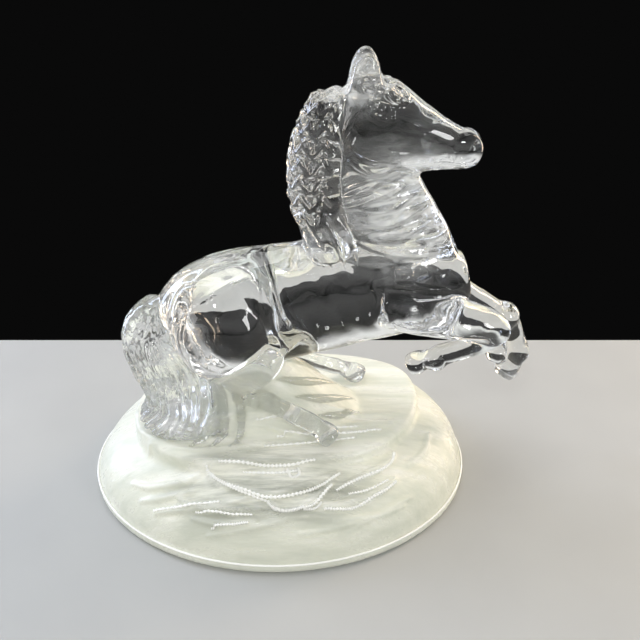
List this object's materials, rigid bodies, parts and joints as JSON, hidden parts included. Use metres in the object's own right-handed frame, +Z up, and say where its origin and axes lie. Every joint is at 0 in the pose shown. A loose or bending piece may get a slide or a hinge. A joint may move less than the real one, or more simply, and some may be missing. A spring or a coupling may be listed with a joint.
{
  "type": "crystal horse figurine",
  "caption": "Clear crystal horse figurine leaping from a frosted oval glass base, with one foreleg tucked and the tail trailing onto the ground.",
  "frame": {"origin": "on the surface the figurine stands on, at the centre of the oval base", "axes": "+X the way the horse leaps, +Y the horse's left, +Z up"},
  "size_m": [0.147, 0.1014, 0.1401],
  "materials": {
    "clear_crystal": "polished clear lead crystal",
    "frosted_crystal": "satin frosted lead crystal"
  },
  "bodies": {
    "root": {"base_foot": "frosted_crystal", "base_dome": "frosted_crystal", "ground_terrace": "frosted_crystal", "ground_mound": "frosted_crystal", "hindquarters": "clear_crystal", "barrel": "clear_crystal", "chest": "clear_crystal", "neck": "clear_crystal", "head": "clear_crystal", "muzzle": "clear_crystal", "right_ear": "clear_crystal", "left_ear": "clear_crystal", "mane": "clear_crystal", "tail": "clear_crystal", "right_thigh": "clear_crystal", "left_thigh": "clear_crystal", "right_gaskin": "clear_crystal", "left_gaskin": "clear_crystal", "right_hind_cannon": "clear_crystal", "left_hind_cannon": "clear_crystal", "right_hind_hoof": "clear_crystal", "left_hind_hoof": "clear_crystal", "right_forearm": "clear_crystal", "left_forearm": "clear_crystal", "right_fore_cannon": "clear_crystal", "left_fore_cannon": "clear_crystal", "right_fore_hoof": "clear_crystal", "left_fore_hoof": "clear_crystal"}
  },
  "joints": []
}
